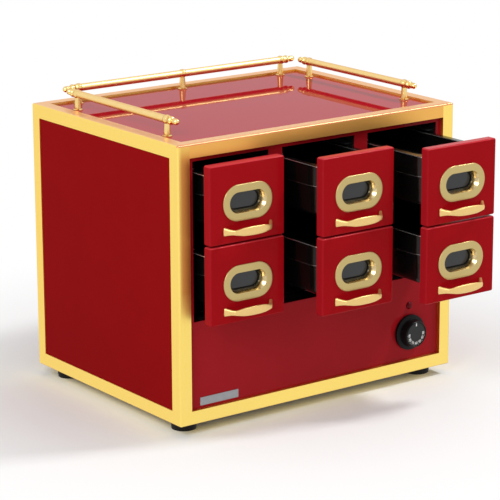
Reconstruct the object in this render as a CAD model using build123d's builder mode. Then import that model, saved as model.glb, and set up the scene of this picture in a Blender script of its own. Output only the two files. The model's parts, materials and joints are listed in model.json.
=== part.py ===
# Drawer warmer: a red and brass table cabinet with six heated drawers, three columns of two.
#
# Millimetres, +Z up, the drawer fronts face -Y. The drawers are modelled where they stand
# pulled out, one pull for each column. The origin is the middle of the whole box at table level.
import math
import os
from build123d import *

os.makedirs("parts", exist_ok=True)

# Cabinet frame of square tube
frame_width = 500.0
frame_depth = 380.0
frame_height = 406.0
tube_size = 20.0
tube_wall = 1.5
tube_corner = 2.5
plug_depth = 10.0
plug_fit = 0.1

# Sheet metal skins, folded into trays that sit inside the frame
skin = 1.5
skin_fold = 11.0
skin_fit = 0.15
inner_gap = 0.35
side_recess = 1.5
fascia_recess = 6.0
top_recess = 3.0

# Feet
foot_height = 16.0
foot_diameter = 40.0
foot_taper = 2.0
foot_inset_x = 32.0
foot_inset_y = 38.0
foot_screw_diameter = 5.0
foot_screw_head = 10.0
foot_screw_head_height = 3.5
foot_recess_depth = 8.0
foot_recess_gap = 1.0
foot_screw_length = 16.0
screw_clearance = 0.2

# Drawer openings in the fascia
columns = 3
rows = 2
fascia_margin = 8.75
divider_width = 24.0
opening_bottom = 148.4
opening_top_margin = 6.4
front_gap = 1.4
row_gap = 2.4

# Drawer fronts
front_thickness = 14.0
front_corner = 3.0
front_edge = 2.5
column_pulls = [33.0, 86.0, 128.0]
drawer_travel = 240.0

# Porthole in each front
ring_width = 85.0
ring_height = 52.0
ring_proud = 1.8
ring_edge = 0.8
throat_width = 62.0
throat_height = 29.0
throat_taper = 4.0
throat_wall = 1.6
throat_depth = 11.0
glass_thickness = 2.0
glass_lap = 4.0
glass_fit = 0.3
ring_fit = 0.2

# Bow handle
handle_length = 84.0
handle_reach = 18.0
handle_drop = 38.5
handle_foot = 6.5
handle_foot_height = 11.5
handle_waist = 29.0
handle_waist_height = 7.6
handle_belly_height = 12.6
handle_thickness = 4.0
handle_edge = 1.0

# Pan that each drawer is made of
pan_back_gap = 44.0
pan_side_gap = 3.35
pan_flange_lip = 7.5
pan_flange_corner = 9.0
pan_wall = 1.0
pan_rim_drop = 15.0
pan_floor_gap = 20.0
pan_corner = 26.0
pan_shoulder_drop = 33.0
pan_shoulder_step = 3.0
pan_taper = 3.0
pan_bottom_radius = 9.0

# Runners and bay walls
bay_gap = 10.5
bay_wall = 1.2
bay_clearance = 0.5
runner_sheet = 1.2
runner_tail = 8.0
runner_lap = 5.0
runner_gap = 0.4
runner_top_gap = 2.5
runner_start = 1.0
runner_stop_height = 8.0

# Heater compartment under the drawers
deck_sheet = 1.5
deck_drop = 3.0
deck_slot_length = 60.0
deck_slot_width = 6.0
deck_slot_pitch = 34.0
deck_slot_rows = 9
element_diameter = 8.0
element_height = 60.0
element_end_gap = 43.0
element_side_gap = 48.0
element_legs = 6
element_tail = 40.0
bracket_sheet = 2.0
bracket_inset = 30.0
bracket_depth_margin = 18.0
element_fit = 0.3

# Thermostat, knob and pilot lamp in the fascia
control_inset = 76.5
control_height = 63.0
shaft_diameter = 6.0
shaft_fit = 0.05
shaft_length = 24.0
bush_diameter = 10.0
bush_clearance = 0.2
thermostat_width = 42.0
thermostat_height = 36.0
thermostat_depth = 26.0
thermostat_edge = 2.0
knob_skirt_diameter = 54.0
knob_skirt_height = 4.0
knob_cap_diameter = 40.0
knob_height = 19.0
knob_gap = 0.6
knob_dish = 1.0
knob_edge = 1.5
knob_bore_depth = 12.0
lamp_height = 104.0
lamp_diameter = 11.0
lamp_barrel_diameter = 8.5
lamp_barrel_length = 16.0
lamp_rim = 1.0
lamp_dome = 3.0
lamp_fit = 0.15

# Mains inlet at the back
gland_height = 45.0
gland_thread_diameter = 16.0
gland_thread_length = 14.0
gland_hex = 22.0
gland_hex_length = 6.0
gland_dome_length = 12.0
gland_dome_taper = 8.0
gland_dome_round = 2.0
gland_bore = 8.0
gland_nut_thickness = 5.0
gland_fit = 0.2
terminal_width = 60.0
terminal_depth = 24.0
terminal_height = 22.0
terminal_gap = 45.0
terminal_side_gap = 16.5
terminal_ways = 3
terminal_screw = 5.0
terminal_screw_depth = 8.0
terminal_corner = 1.5

# Back and base ventilation
vent_length = 46.0
vent_width = 4.0
vent_pitch = 12.0
vent_count = 6
vent_spread = 120.0
vent_height = 60.0
base_vent_length = 120.0
base_vent_width = 5.0
base_vent_count = 5
base_vent_pitch = 30.0

# Gallery rail on the top panel
gallery_height = 28.0
gallery_inset = 14.0
gallery_side_post_inset = 40.0
gallery_back_post_inset = 27.0
gallery_tube = 11.0
gallery_head = 13.5
gallery_fit = 0.05
gallery_flange = 14.5
gallery_flange_height = 2.5
gallery_stem_bottom = 10.4
gallery_stem_top = 7.8
gallery_stud = 4.0
gallery_stud_length = 10.0
finial_collar = 12.5
finial_collar_length = 8.0
finial_neck = 6.0
finial_neck_length = 1.5
finial_ball = 9.0
finial_length = 20.0

# Places worked out from the driving sizes
gland_reach = gland_hex_length + gland_dome_length - side_recess
front_reach = frame_depth / 2 + max(column_pulls) + handle_reach
back_reach = frame_depth / 2 + gland_reach
middle_y = (front_reach - back_reach) / 2
front_y = middle_y - frame_depth / 2
back_y = middle_y + frame_depth / 2
side_x = frame_width / 2
frame_bottom = foot_height
frame_top = foot_height + frame_height
fascia_y = front_y + fascia_recess
top_z = frame_top - top_recess
inner_width = frame_width - 2 * tube_size
inner_depth = frame_depth - 2 * tube_size
inner_height = frame_height - 2 * tube_size

opening_width = (inner_width - 2 * fascia_margin - (columns - 1) * divider_width) / columns
column_pitch = opening_width + divider_width
opening_height = frame_height - tube_size - opening_top_margin - opening_bottom
opening_z = frame_bottom + opening_bottom
front_width = opening_width - 2 * front_gap
front_height = (opening_height - 2 * front_gap - (rows - 1) * row_gap) / rows
row_pitch = front_height + row_gap
lowest_front_z = opening_z + front_gap
column_x = [(column - (columns - 1) / 2) * column_pitch for column in range(columns)]
row_z = [lowest_front_z + row * row_pitch for row in range(rows)]
row_rim_z = [z + front_height - pan_rim_drop for z in row_z]
pan_depth = front_height - pan_rim_drop - pan_floor_gap
pan_length = frame_depth - front_thickness - pan_back_gap
pan_flange_width = front_width - 2 * pan_side_gap

bay_width = column_pitch - bay_gap
deck_width = (columns - 1) * column_pitch + bay_width
deck_length = inner_depth - 2 * (skin_fit + skin + inner_gap)
deck_z = opening_z - deck_drop
base_z = frame_bottom
bay_front_y = fascia_y + skin + bay_clearance
bay_back_y = back_y - side_recess - skin - bay_clearance
control_x = frame_width / 2 - control_inset
control_z = frame_bottom + control_height
lamp_z = frame_bottom + lamp_height
terminal_x = deck_width / 2 - deck_sheet - terminal_side_gap - terminal_width / 2
gland_x = terminal_x
gland_z = frame_bottom + gland_height
gland_y = back_y - side_recess
element_z = frame_bottom + element_height
element_run = deck_length - 2 * element_end_gap
element_pitch = (deck_width - 2 * element_side_gap) / element_legs
gallery_z = frame_top + gallery_height - gallery_head / 2

foot_places = [
    (sx * (frame_width / 2 - foot_inset_x), middle_y + sy * (frame_depth / 2 - foot_inset_y))
    for sx in (-1, 1) for sy in (-1, 1)
]
gallery_side_x = frame_width / 2 - tube_size - gallery_inset
gallery_back_y = back_y - tube_size - gallery_inset
gallery_back_post_x = gallery_side_x - gallery_back_post_inset
gallery_side_post_y = gallery_back_y - middle_y - gallery_side_post_inset
gallery_side_ends = [middle_y - gallery_side_post_y, middle_y + gallery_side_post_y]
gallery_post_places = (
    [(sx * gallery_side_x, y) for sx in (-1, 1) for y in gallery_side_ends]
    + [(x, gallery_back_y) for x in (-gallery_back_post_x, 0.0, gallery_back_post_x)]
)


def save(builder, name):
    """Label the finished piece and write it to its own file."""
    builder.part.label = name
    export_step(builder.part, f"parts/{name}.step")


def on_outline(edge):
    """True for an edge that lies in two of the frame's outer planes, which are the rounded ones."""
    c = edge.center()
    planes = [
        abs(abs(c.X) - frame_width / 2),
        abs(abs(c.Y - middle_y) - frame_depth / 2),
        min(abs(c.Z - frame_bottom), abs(c.Z - frame_top)),
    ]
    return sum(distance < 0.01 for distance in planes) >= 2


# Frame: four posts closed at the top, with eight rails butted between them.
post_places = [
    (sx * (frame_width - tube_size) / 2, middle_y + sy * (frame_depth - tube_size) / 2)
    for sx in (-1, 1) for sy in (-1, 1)
]
with BuildPart() as frame_posts:
    with BuildSketch(Plane.XY.offset(frame_bottom)):
        with Locations(post_places):
            Rectangle(tube_size, tube_size)
    extrude(amount=frame_height)
    fillet(frame_posts.edges().filter_by(on_outline), tube_corner)
    with BuildSketch(Plane.XY.offset(frame_bottom)):
        with Locations(post_places):
            Rectangle(tube_size - 2 * tube_wall, tube_size - 2 * tube_wall)
    extrude(amount=frame_height - tube_wall, mode=Mode.SUBTRACT)
save(frame_posts, "frame_posts")

# Post plugs: plastic inserts that close the posts' open lower ends.
plug_width = tube_size - 2 * tube_wall - 2 * plug_fit
with BuildPart() as post_plugs:
    with BuildSketch(Plane.XY.offset(frame_bottom)):
        with Locations(post_places):
            Rectangle(plug_width, plug_width)
    extrude(amount=plug_depth)
save(post_plugs, "post_plugs")


def rail_ring(z):
    """Four hollow rails between the posts, with their outer edges rounded."""
    across = (inner_width, tube_size, tube_size)
    along = (tube_size, inner_depth, tube_size)
    across_places = [(0, middle_y + sy * (frame_depth - tube_size) / 2, z) for sy in (-1, 1)]
    along_places = [(sx * (frame_width - tube_size) / 2, middle_y, z) for sx in (-1, 1)]
    bore = tube_size - 2 * tube_wall
    with BuildPart() as rails:
        with Locations(across_places):
            Box(*across)
        with Locations(along_places):
            Box(*along)
        fillet(rails.edges().filter_by(on_outline), tube_corner)
        with Locations(across_places):
            Box(inner_width, bore, bore, mode=Mode.SUBTRACT)
        with Locations(along_places):
            Box(bore, inner_depth, bore, mode=Mode.SUBTRACT)
    return rails


save(rail_ring(frame_top - tube_size / 2), "frame_top_rails")
save(rail_ring(frame_bottom + tube_size / 2), "frame_bottom_rails")


def tray(plane, width, height):
    """A sheet folded back on its four edges, its face on the plane and open against its normal."""
    with BuildPart() as panel:
        with BuildSketch(plane):
            Rectangle(width - 2 * skin_fit, height - 2 * skin_fit)
        extrude(amount=-skin_fold)
        offset(amount=-skin, openings=panel.faces().sort_by(Axis(plane.origin, plane.z_dir))[0])
    return panel


def plane_at(origin, x_dir, z_dir):
    return Plane(origin=origin, x_dir=x_dir, z_dir=z_dir)


frame_middle_z = frame_bottom + frame_height / 2
left_plane = plane_at((side_recess - side_x, middle_y, frame_middle_z), (0, -1, 0), (-1, 0, 0))
right_plane = plane_at((side_x - side_recess, middle_y, frame_middle_z), (0, 1, 0), (1, 0, 0))
back_plane = plane_at((0, back_y - side_recess, frame_middle_z), (-1, 0, 0), (0, 1, 0))
fascia_plane = plane_at((0, fascia_y, frame_middle_z), (1, 0, 0), (0, -1, 0))
top_plane = plane_at((0, middle_y, top_z), (1, 0, 0), (0, 0, 1))
base_plane = plane_at((0, middle_y, base_z), (1, 0, 0), (0, 0, -1))

save(tray(left_plane, inner_depth, inner_height), "left_panel")
save(tray(right_plane, inner_depth, inner_height), "right_panel")

# Back panel: vent slots low on both sides of the middle and the hole for the cable gland.
with BuildPart() as back_panel:
    add(tray(back_plane, inner_width, inner_height).part)
    with BuildSketch(back_plane):
        with Locations((0, vent_height - frame_height / 2)):
            with GridLocations(vent_spread, vent_pitch, 2, vent_count):
                SlotOverall(vent_length, vent_width)
        with Locations((-gland_x, gland_height - frame_height / 2)):
            Circle(gland_thread_diameter / 2 + gland_fit)
    extrude(amount=-skin, mode=Mode.SUBTRACT)
save(back_panel, "back_panel")

# Front fascia: one opening for each column, and holes for the thermostat and the lamp.
opening_middle = opening_z + opening_height / 2 - frame_middle_z
with BuildPart() as front_fascia:
    add(tray(fascia_plane, inner_width, inner_height).part)
    with BuildSketch(fascia_plane):
        with Locations((0, opening_middle)):
            with GridLocations(column_pitch, 1, columns, 1):
                Rectangle(opening_width, opening_height)
        with Locations((control_x, control_z - frame_middle_z)):
            Circle(bush_diameter / 2 + bush_clearance)
        with Locations((control_x, lamp_z - frame_middle_z)):
            Circle(lamp_barrel_diameter / 2 + lamp_fit)
    extrude(amount=-skin, mode=Mode.SUBTRACT)
save(front_fascia, "front_fascia")

# Top panel: a hole for the stud of each gallery post.
with BuildPart() as top_panel:
    add(tray(top_plane, inner_width, inner_depth).part)
    with BuildSketch(top_plane):
        with Locations([(x, y - middle_y) for x, y in gallery_post_places]):
            Circle(gallery_stud / 2 + screw_clearance)
    extrude(amount=-skin, mode=Mode.SUBTRACT)
save(top_panel, "top_panel")

# Base plate: its folds stand up inside the frame, and its slots let air in under the heater.
with BuildPart() as base_plate:
    add(tray(base_plane, inner_width, inner_depth).part)
    with BuildSketch(base_plane):
        with GridLocations(2 * base_vent_length, base_vent_pitch, 2, base_vent_count):
            SlotOverall(base_vent_length, base_vent_width)
        with Locations([(x, middle_y - y) for x, y in foot_places]):
            Circle(foot_screw_diameter / 2 + screw_clearance)
    extrude(amount=-skin, mode=Mode.SUBTRACT)
save(base_plate, "base_plate")

# Feet: tapered rubber pads with a recess for the screw's head.
with BuildPart() as feet:
    with Locations([(x, y, 0) for x, y in foot_places]):
        Cone(
            foot_diameter / 2 - foot_taper, foot_diameter / 2, foot_height,
            align=(Align.CENTER, Align.CENTER, Align.MIN),
        )
    with BuildSketch(Plane.XY):
        with Locations(foot_places):
            Circle(foot_screw_head / 2 + foot_recess_gap)
    extrude(amount=foot_recess_depth, mode=Mode.SUBTRACT)
    with BuildSketch(Plane.XY):
        with Locations(foot_places):
            Circle(foot_screw_diameter / 2 + screw_clearance)
    extrude(amount=foot_height, mode=Mode.SUBTRACT)
save(feet, "feet")

# Foot screws: heads inside the rubber, shanks up through the base plate.
with BuildPart() as foot_screws:
    with BuildSketch(Plane.XY.offset(foot_recess_depth - foot_screw_head_height)):
        with Locations(foot_places):
            Circle(foot_screw_head / 2)
    extrude(amount=foot_screw_head_height)
    with BuildSketch(Plane.XY.offset(foot_recess_depth)):
        with Locations(foot_places):
            Circle(foot_screw_diameter / 2)
    extrude(amount=foot_screw_length)
save(foot_screws, "foot_screws")


# Heater deck: a slotted sheet on two legs that stand on the base plate, under all the drawers.
bay_length = bay_back_y - bay_front_y
deck_leg_height = deck_z - base_z - skin
with BuildPart() as heater_deck:
    with BuildSketch(Plane.XY.offset(deck_z)):
        with Locations((0, middle_y)):
            Rectangle(deck_width, deck_length)
    extrude(amount=-deck_leg_height)
    with BuildSketch(Plane.XY.offset(deck_z - deck_sheet)):
        with Locations((0, middle_y)):
            Rectangle(deck_width - 2 * deck_sheet, deck_length)
    extrude(amount=-deck_leg_height, mode=Mode.SUBTRACT)
    with BuildSketch(Plane.XY.offset(deck_z)):
        with Locations((0, middle_y)):
            with GridLocations(column_pitch, deck_slot_pitch, columns, deck_slot_rows):
                Rectangle(deck_slot_length, deck_slot_width)
    extrude(amount=-deck_sheet, mode=Mode.SUBTRACT)
save(heater_deck, "heater_deck")

# Bay walls: a wall on each side of each column, from the deck to the underside of the top.
bay_wall_top = frame_top - tube_size - skin_fit - skin - inner_gap
with BuildPart() as bay_walls:
    with BuildSketch(Plane.XY.offset(deck_z)):
        for x in column_x:
            with Locations((x, (bay_front_y + bay_back_y) / 2)):
                with GridLocations(bay_width - bay_wall, 1, 2, 1):
                    Rectangle(bay_wall, bay_length)
    extrude(amount=bay_wall_top - deck_z)
save(bay_walls, "bay_walls")

# Runners: folded channels on the bay walls that hold the flanges of the pans.
# Each ends in a tab at the back, where the closed pan stops.
closed_front_y = front_y
closed_pan_y = closed_front_y + front_thickness
runner_length = pan_length + runner_tail
runner_y = closed_pan_y + runner_start
runner_depth = bay_width / 2 - bay_wall - (pan_flange_width / 2 - runner_lap)
runner_height = 2 * runner_sheet + pan_wall + runner_gap + runner_top_gap
stop_y = closed_pan_y + pan_length + runner_gap


def runner_profile(side, rim_z):
    """The channel's outline seen from the front, open towards the pan."""
    floor_z = rim_z - pan_wall - runner_gap - runner_sheet
    reach = -side * runner_depth
    web = -side * runner_sheet
    with BuildLine() as outline:
        Polyline(
            (0, floor_z),
            (reach, floor_z),
            (reach, floor_z + runner_sheet),
            (web, floor_z + runner_sheet),
            (web, floor_z + runner_height - runner_sheet),
            (reach, floor_z + runner_height - runner_sheet),
            (reach, floor_z + runner_height),
            (0, floor_z + runner_height),
            close=True,
        )
    return outline


with BuildPart() as drawer_runners:
    for x in column_x:
        for side in (-1, 1):
            wall_x = x + side * (bay_width / 2 - bay_wall)
            for rim_z in row_rim_z:
                place = plane_at((wall_x, runner_y, 0), (1, 0, 0), (0, -1, 0))
                with BuildSketch(place):
                    add(runner_profile(side, rim_z).line)
                    make_face()
                extrude(amount=-runner_length)
                tab_z = rim_z - pan_wall - runner_gap
                with Locations((wall_x - side * runner_depth / 2, stop_y, tab_z)):
                    Box(
                        runner_depth, runner_sheet, runner_height - 2 * runner_sheet,
                        align=(Align.CENTER, Align.MIN, Align.MIN),
                    )
save(drawer_runners, "drawer_runners")

# Heating element: one tube bent into legs, its tails turned to the back.
element_radius = element_diameter / 2
leg_start = -(element_legs - 1) / 2 * element_pitch
element_front = middle_y - element_run / 2
element_back = middle_y + element_run / 2
element_points = [(leg_start, element_back + element_tail)]
for leg in range(element_legs):
    leg_x = leg_start + leg * element_pitch
    ends = [element_back, element_front] if leg % 2 == 0 else [element_front, element_back]
    if leg == 0:
        ends = ends[1:]
    if leg == element_legs - 1:
        ends = ends[:1] + [element_back + element_tail]
    element_points += [(leg_x, y) for y in ends]
with BuildPart() as heating_element:
    with BuildLine(Plane.XY.offset(element_z)) as element_path:
        FilletPolyline(*element_points, radius=element_pitch / 2 - element_fit)
    with BuildSketch(Plane(origin=element_path.line @ 0, z_dir=element_path.line % 0)):
        Circle(element_radius)
    sweep()
save(heating_element, "heating_element")

# Element brackets: upright sheets on the base plate, with a hole for each leg of the element.
bracket_height = element_z + bracket_depth_margin - base_z - skin
with BuildPart() as element_brackets:
    for sy in (-1, 1):
        bracket_y = middle_y + sy * (element_run / 2 - bracket_inset)
        with Locations((0, bracket_y, base_z + skin)):
            Box(
                element_legs * element_pitch, bracket_sheet, bracket_height,
                align=(Align.CENTER, Align.CENTER, Align.MIN),
            )
        with BuildSketch(plane_at((0, bracket_y + bracket_sheet, element_z), (1, 0, 0), (0, -1, 0))):
            with GridLocations(element_pitch, 1, element_legs, 1):
                Circle(element_radius + element_fit)
        extrude(amount=2 * bracket_sheet, mode=Mode.SUBTRACT)
save(element_brackets, "element_brackets")

# Thermostat: its bush passes through the fascia, and its shaft carries the knob.
control_plane = plane_at((control_x, fascia_y, control_z), (1, 0, 0), (0, -1, 0))
bush_front = knob_gap
with BuildPart() as thermostat_body:
    with BuildSketch(control_plane.offset(-skin)):
        Rectangle(thermostat_width, thermostat_height)
    extrude(amount=-thermostat_depth)
    fillet(thermostat_body.edges().filter_by(Axis.Y), thermostat_edge)
    with BuildSketch(control_plane.offset(-skin)):
        Circle(bush_diameter / 2)
    extrude(amount=skin + bush_front)
    with BuildSketch(control_plane.offset(bush_front)):
        Circle(shaft_diameter / 2 + shaft_fit)
    extrude(amount=-shaft_length + knob_bore_depth, mode=Mode.SUBTRACT)
save(thermostat_body, "thermostat_body")

shaft_back = -(shaft_length - knob_bore_depth) + bush_front + shaft_fit
with BuildPart() as thermostat_shaft:
    with BuildSketch(control_plane.offset(shaft_back)):
        Circle(shaft_diameter / 2)
    extrude(amount=shaft_length)
save(thermostat_shaft, "thermostat_shaft")

# Knob: a round skirt, a waist and a dished cap, turned about the shaft.
with BuildPart() as thermostat_knob:
    with BuildSketch(Plane.YZ.offset(control_x)) as knob_section:
        with BuildLine():
            skirt_r = knob_skirt_diameter / 2
            cap_r = knob_cap_diameter / 2
            back = fascia_y - bush_front - runner_gap
            front = fascia_y - knob_height
            Polyline(
                (back, control_z), (back, control_z + skirt_r),
                (back - knob_skirt_height, control_z + skirt_r),
                (back - knob_skirt_height - knob_edge, control_z + cap_r + knob_edge),
                (front + knob_edge, control_z + cap_r),
                (front, control_z + cap_r - knob_edge),
                (front + knob_dish, control_z + cap_r - 2 * knob_edge),
                (front + knob_dish, control_z),
                close=True,
            )
        make_face()
    revolve(axis=Axis((control_x, 0, control_z), (0, 1, 0)))
    with BuildSketch(control_plane.offset(shaft_back + shaft_length + shaft_fit)):
        Circle(shaft_diameter / 2 + shaft_fit)
    extrude(amount=-knob_bore_depth - knob_gap, mode=Mode.SUBTRACT)
save(thermostat_knob, "thermostat_knob")


# Pilot lamp: a domed lens on a barrel through the fascia.
lamp_plane = plane_at((control_x, fascia_y, lamp_z), (1, 0, 0), (0, -1, 0))
with BuildPart() as pilot_lamp:
    with BuildSketch(Plane.YZ.offset(control_x)):
        with BuildLine():
            lens_r = lamp_diameter / 2
            barrel_r = lamp_barrel_diameter / 2
            face = fascia_y - lamp_rim
            tail = fascia_y + lamp_barrel_length
            Line((tail, lamp_z), (tail, lamp_z + barrel_r))
            Line((tail, lamp_z + barrel_r), (fascia_y, lamp_z + barrel_r))
            Line((fascia_y, lamp_z + barrel_r), (fascia_y, lamp_z + lens_r))
            Line((fascia_y, lamp_z + lens_r), (face, lamp_z + lens_r))
            dome_r = (lens_r**2 + lamp_dome**2) / (2 * lamp_dome)
            dome_middle = math.asin(lens_r / dome_r) / 2
            ThreePointArc(
                (face, lamp_z + lens_r),
                (
                    face - lamp_dome + dome_r * (1 - math.cos(dome_middle)),
                    lamp_z + dome_r * math.sin(dome_middle),
                ),
                (face - lamp_dome, lamp_z),
            )
            Line((face - lamp_dome, lamp_z), (tail, lamp_z))
        make_face()
    revolve(axis=Axis((control_x, 0, lamp_z), (0, 1, 0)))
save(pilot_lamp, "pilot_lamp")

# Cable gland: hexagon and dome outside the back panel, thread through it, lock nut inside.
gland_plane = plane_at((gland_x, gland_y, gland_z), (-1, 0, 0), (0, 1, 0))
with BuildPart() as gland_body:
    with BuildSketch(gland_plane):
        RegularPolygon(gland_hex / 2, 6, major_radius=False)
    extrude(amount=gland_hex_length)
    with BuildSketch(gland_plane.offset(gland_hex_length)):
        Circle(gland_hex / 2 - gland_fit)
    extrude(amount=gland_dome_length, taper=gland_dome_taper)
    fillet(gland_body.faces().sort_by(Axis.Y)[-1].edges(), gland_dome_round)
    with BuildSketch(gland_plane):
        Circle(gland_thread_diameter / 2)
    extrude(amount=-gland_thread_length)
    with BuildSketch(gland_plane.offset(gland_hex_length + gland_dome_length)):
        Circle(gland_bore / 2)
    extrude(amount=-(gland_hex_length + gland_dome_length + gland_thread_length), mode=Mode.SUBTRACT)
save(gland_body, "gland_body")

with BuildPart() as gland_nut:
    with BuildSketch(gland_plane.offset(-skin)):
        RegularPolygon(gland_hex / 2, 6, major_radius=False)
        Circle(gland_thread_diameter / 2 + shaft_fit, mode=Mode.SUBTRACT)
    extrude(amount=-gland_nut_thickness)
save(gland_nut, "gland_nut")

# Terminal block: stands on the base plate in front of the gland, with a screw for each way.
terminal_y = gland_y - skin - gland_thread_length - terminal_gap
with BuildPart() as terminal_block:
    with Locations((terminal_x, terminal_y, base_z + skin)):
        Box(
            terminal_width, terminal_depth, terminal_height,
            align=(Align.CENTER, Align.CENTER, Align.MIN),
        )
    fillet(terminal_block.edges().filter_by(Axis.Z), terminal_corner)
    with BuildSketch(Plane.XY.offset(base_z + skin + terminal_height)):
        with Locations((terminal_x, terminal_y)):
            with GridLocations(terminal_width / terminal_ways, 1, terminal_ways, 1):
                Circle(terminal_screw / 2)
    extrude(amount=-terminal_screw_depth, mode=Mode.SUBTRACT)
save(terminal_block, "terminal_block")

# Gallery posts: flange, tapered stem and a ball head bored for the rail tube.
head_r = gallery_head / 2
with BuildPart() as gallery_post:
    with BuildSketch(Plane.XZ):
        with BuildLine():
            head_z = gallery_z - top_z
            neck_z = head_z - (head_r**2 - (gallery_stem_top / 2) ** 2) ** 0.5
            flange_r = gallery_flange / 2
            Line((0, -gallery_stud_length), (gallery_stud / 2, -gallery_stud_length))
            Line((gallery_stud / 2, -gallery_stud_length), (gallery_stud / 2, 0))
            Line((gallery_stud / 2, 0), (flange_r, 0))
            Line((flange_r, 0), (flange_r, gallery_flange_height / 2))
            Line((flange_r, gallery_flange_height / 2), (gallery_stem_bottom / 2, gallery_flange_height))
            Line((gallery_stem_bottom / 2, gallery_flange_height), (gallery_stem_top / 2, neck_z))
            ThreePointArc((gallery_stem_top / 2, neck_z), (head_r, head_z), (0, head_z + head_r))
            Line((0, head_z + head_r), (0, -gallery_stud_length))
        make_face()
    revolve(axis=Axis.Z)
with BuildPart() as gallery_posts:
    with Locations([(x, y, top_z) for x, y in gallery_post_places]):
        add(gallery_post.part)
    bore_radius = gallery_tube / 2 + gallery_fit
    with Locations([(sx * gallery_side_x, middle_y, gallery_z) for sx in (-1, 1)]):
        Cylinder(bore_radius, frame_depth, rotation=(90, 0, 0), mode=Mode.SUBTRACT)
    with Locations((0, gallery_back_y, gallery_z)):
        Cylinder(bore_radius, 2 * gallery_back_post_x + 2 * gallery_head, rotation=(0, 90, 0), mode=Mode.SUBTRACT)
save(gallery_posts, "gallery_posts")

# Gallery rails: tubes that run through the ball heads and end flush with them.
side_rail_length = 2 * gallery_side_post_y + gallery_head
back_rail_length = 2 * gallery_back_post_x + gallery_head
for sx, name in ((-1, "gallery_rail_left"), (1, "gallery_rail_right")):
    with BuildPart() as side_rail:
        with Locations((sx * gallery_side_x, middle_y, gallery_z)):
            Cylinder(gallery_tube / 2, side_rail_length, rotation=(90, 0, 0))
    save(side_rail, name)
with BuildPart() as back_rail:
    with Locations((0, gallery_back_y, gallery_z)):
        Cylinder(gallery_tube / 2, back_rail_length, rotation=(0, 90, 0))
save(back_rail, "gallery_rail_back")

# Finials: a collar and a turned nose on each end of the three rails.
with BuildPart() as finial:
    with BuildSketch(Plane.XZ):
        with BuildLine():
            collar_r = finial_collar / 2
            neck_r = finial_neck / 2
            nose_r = finial_ball / 2
            nose_z = finial_collar_length + finial_neck_length
            Line((0, 0), (neck_r, 0))
            ThreePointArc(
                (neck_r, 0), (collar_r, finial_collar_length / 2), (neck_r, finial_collar_length),
            )
            Line((neck_r, finial_collar_length), (neck_r, nose_z))
            Line((neck_r, nose_z), (nose_r, nose_z + finial_neck_length))
            Line((nose_r, nose_z + finial_neck_length), (nose_r, finial_length - nose_r))
            ThreePointArc(
                (nose_r, finial_length - nose_r),
                (nose_r / 2**0.5, finial_length - nose_r * (1 - 1 / 2**0.5)),
                (0, finial_length),
            )
            Line((0, finial_length), (0, 0))
        make_face()
    revolve(axis=Axis.Z)
with BuildPart() as gallery_finials:
    for sx in (-1, 1):
        for sy in (-1, 1):
            end = middle_y + sy * side_rail_length / 2
            with Locations(Location((sx * gallery_side_x, end, gallery_z), (-sy * 90, 0, 0))):
                add(finial.part)
        end = sx * back_rail_length / 2
        with Locations(Location((end, gallery_back_y, gallery_z), (0, sx * 90, 0))):
            add(finial.part)
save(gallery_finials, "gallery_finials")

# Drawer pieces, made once about the middle of the front's lower back edge.
rim_z = front_height - pan_rim_drop
body_width = pan_flange_width - 2 * pan_flange_lip
body_length = pan_length - 2 * pan_flange_lip
hole_width = throat_width + 2 * throat_wall + 2 * ring_fit
hole_height = throat_height + 2 * throat_wall + 2 * ring_fit
ring_z = front_height / 2
handle_z = ring_z - handle_drop
face_plane = plane_at((0, -front_thickness, 0), (1, 0, 0), (0, -1, 0))

with BuildPart() as front_piece:
    with BuildSketch(Plane.XZ):
        with Locations((0, front_height / 2)):
            Rectangle(front_width, front_height)
    extrude(amount=front_thickness)
    fillet(front_piece.edges().filter_by(Axis.Y), front_corner)
    fillet(front_piece.faces().sort_by(Axis.Y)[0].edges(), front_edge)
    with BuildSketch(Plane.XZ):
        with Locations((0, ring_z)):
            SlotOverall(hole_width, hole_height)
    extrude(amount=front_thickness, mode=Mode.SUBTRACT)

with BuildPart() as ring_piece:
    with BuildSketch(face_plane):
        with Locations((0, ring_z)):
            SlotOverall(ring_width, ring_height)
    extrude(amount=ring_proud)
    fillet(ring_piece.faces().sort_by(Axis.Y)[0].edges(), ring_edge)
    with BuildSketch(face_plane):
        with Locations((0, ring_z)):
            SlotOverall(hole_width - 2 * ring_fit, hole_height - 2 * ring_fit)
    extrude(amount=-throat_depth)
    with BuildSketch(face_plane.offset(ring_proud)) as throat_mouth:
        with Locations((0, ring_z)):
            SlotOverall(throat_width, throat_height)
    with BuildSketch(face_plane.offset(-throat_depth)) as throat_end:
        with Locations((0, ring_z)):
            SlotOverall(throat_width - 2 * throat_taper, throat_height - 2 * throat_taper)
    loft(mode=Mode.SUBTRACT)

with BuildPart() as glass_piece:
    with BuildSketch(face_plane.offset(-throat_depth - glass_fit)):
        with Locations((0, ring_z)):
            SlotOverall(hole_width - 2 * glass_fit, hole_height - 2 * glass_fit)
    extrude(amount=-glass_thickness)

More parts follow.
